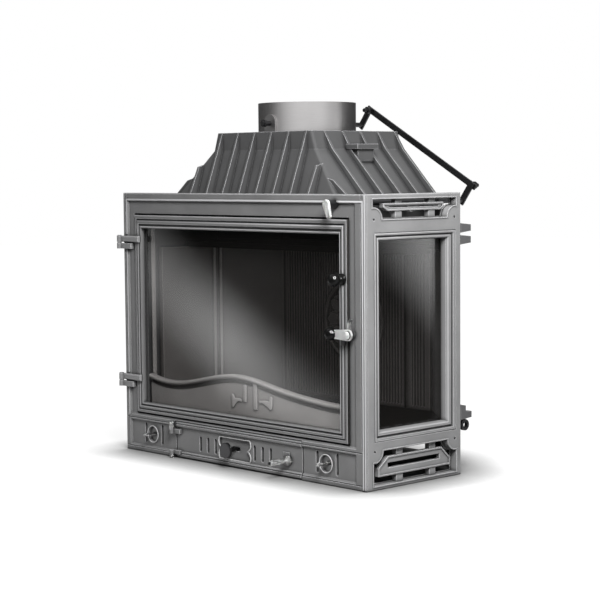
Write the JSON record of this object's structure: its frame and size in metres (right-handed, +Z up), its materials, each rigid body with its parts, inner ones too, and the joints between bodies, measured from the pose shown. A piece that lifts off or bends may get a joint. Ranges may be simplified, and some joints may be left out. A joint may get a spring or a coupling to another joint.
{
  "type": "fireplace insert",
  "caption": "Cast fireplace insert with a hinged front glass door, a glazed right side, a ribbed hood, a round flue collar with a lever-worked damper, an ash door and air slides.",
  "frame": {"origin": "on the base plane, midway across the front frame, under the flue axis", "axes": "+X to the right as seen from the room, +Y from the front frame to the rear, +Z up"},
  "size_m": [0.7327, 0.433, 0.73],
  "materials": {
    "cast_iron_front": "grey-black cast iron, fine sand grain, worn edges",
    "cast_iron_door": "grey cast iron, burnished ridges",
    "cast_iron_side": "light grey cast iron, satin",
    "cast_iron_hood": "grey cast iron, coarse grain",
    "cast_iron_shell": "grey cast plates",
    "lining": "warm grey cast lining, matt",
    "steel_satin": "machined steel ring, satin",
    "steel_dark": "dark blued steel",
    "steel_bright": "polished steel",
    "ball_black": "glossy black ball",
    "door_glass": "warm dark ceramic glass",
    "side_glass": "warm dark ceramic glass",
    "rope_seal": "woven rope seal",
    "steel_plate": "black plate steel"
  },
  "bodies": {
    "insert_body": {"front_frame": "cast_iron_front", "shaft_bush": "steel_dark", "side_frame": "cast_iron_side", "side_screws": "steel_dark", "side_window_frame": "cast_iron_side", "side_glass": "side_glass", "side_seal": "rope_seal", "side_glass_clips": "steel_plate", "upper_grille": "cast_iron_side", "lower_grille": "cast_iron_side", "side_rear_lugs": "cast_iron_side", "lug_eye": "steel_dark", "base_plate": "cast_iron_shell", "left_wall": "cast_iron_shell", "left_rear_wall": "cast_iron_shell", "rear_wall": "cast_iron_shell", "right_rear_wall": "cast_iron_shell", "top_plate": "cast_iron_shell", "firebox_floor": "lining", "grate": "cast_iron_shell", "floor_bearers": "cast_iron_shell", "ash_housing": "steel_plate", "ash_pan": "steel_plate", "left_lining": "lining", "left_rear_lining": "lining", "rear_lining": "lining", "rear_lining_right": "lining", "right_rear_lining": "lining", "baffle_plate": "lining", "log_guard": "lining", "hood": "cast_iron_hood", "hood_pocket": "cast_iron_hood", "flue_collar": "steel_satin", "shaft_bracket": "steel_dark", "frame_hinge_lugs": "cast_iron_side", "ash_hinge_lugs": "steel_bright", "panel_slide_rails": "steel_plate"},
    "front_door": {"door_frame": "cast_iron_door", "door_glass": "door_glass", "door_seal": "rope_seal", "door_glass_clips": "steel_plate", "door_hinge_arms": "cast_iron_side", "door_knob": "ball_black", "latch_plate": "cast_iron_door", "latch_bolt": "steel_bright"},
    "latch": {"latch_lever": "steel_bright"},
    "ash_door": {"ash_door": "cast_iron_front", "air_slide_rails": "steel_plate", "ash_handle_plate": "steel_bright"},
    "air_slide": {"air_slide": "steel_dark"},
    "ash_handle": {"ash_handle": "steel_satin"},
    "left_air_slide": {"left_air_slide": "steel_satin"},
    "right_air_slide": {"right_air_slide": "steel_satin"},
    "control": {"control_shaft": "steel_dark", "control_lever": "steel_bright", "control_crank": "steel_dark"},
    "link": {"link_rod": "steel_dark"},
    "damper": {"damper_shaft": "steel_dark", "damper_disc": "steel_plate", "damper_crank": "steel_dark"}
  },
  "joints": [
    {"name": "front_door_hinge", "type": "hinge", "parent": "insert_body", "child": "front_door", "pos_m": [-0.366, -0.2065, 0.3], "axis": [0, 0, -1], "range_deg": [0, 110]},
    {"name": "latch_turn", "type": "hinge", "parent": "front_door", "child": "latch", "pos_m": [0.327, -0.211, 0.29], "axis": [0, 1, 0], "range_deg": [0, 35]},
    {"name": "ash_door_hinge", "type": "hinge", "parent": "insert_body", "child": "ash_door", "pos_m": [-0.2005, -0.2054, 0.03], "axis": [0, 0, -1], "range_deg": [0, 110]},
    {"name": "ash_air_slide", "type": "slide", "parent": "ash_door", "child": "air_slide", "axis": [1, 0, 0], "range_m": [-0.008, 0.008]},
    {"name": "ash_handle_turn", "type": "hinge", "parent": "ash_door", "child": "ash_handle", "pos_m": [0.146, -0.2, 0.0335], "axis": [0, 1, 0], "range_deg": [0, 90]},
    {"name": "left_air_slide_move", "type": "slide", "parent": "insert_body", "child": "left_air_slide", "axis": [1, 0, 0], "range_m": [-0.006, 0.006]},
    {"name": "right_air_slide_move", "type": "slide", "parent": "insert_body", "child": "right_air_slide", "axis": [1, 0, 0], "range_m": [-0.006, 0.006]},
    {"name": "control_turn", "type": "hinge", "parent": "insert_body", "child": "control", "pos_m": [0.28, 0, 0.531], "axis": [0, 1, 0], "range_deg": [0, 60]},
    {"name": "link_swing", "type": "hinge", "parent": "control", "child": "link", "pos_m": [0.302, 0.165, 0.561], "axis": [0, 1, 0], "range_deg": [-60, 0]},
    {"name": "damper_turn", "type": "hinge", "parent": "insert_body", "child": "damper", "pos_m": [0, 0, 0.688], "axis": [0, 1, 0], "range_deg": [0, 60]}
  ],
  "couplings": [
    {"joint": "link_swing", "follows": "control_turn", "ratio": -1},
    {"joint": "damper_turn", "follows": "control_turn", "ratio": 1}
  ]
}
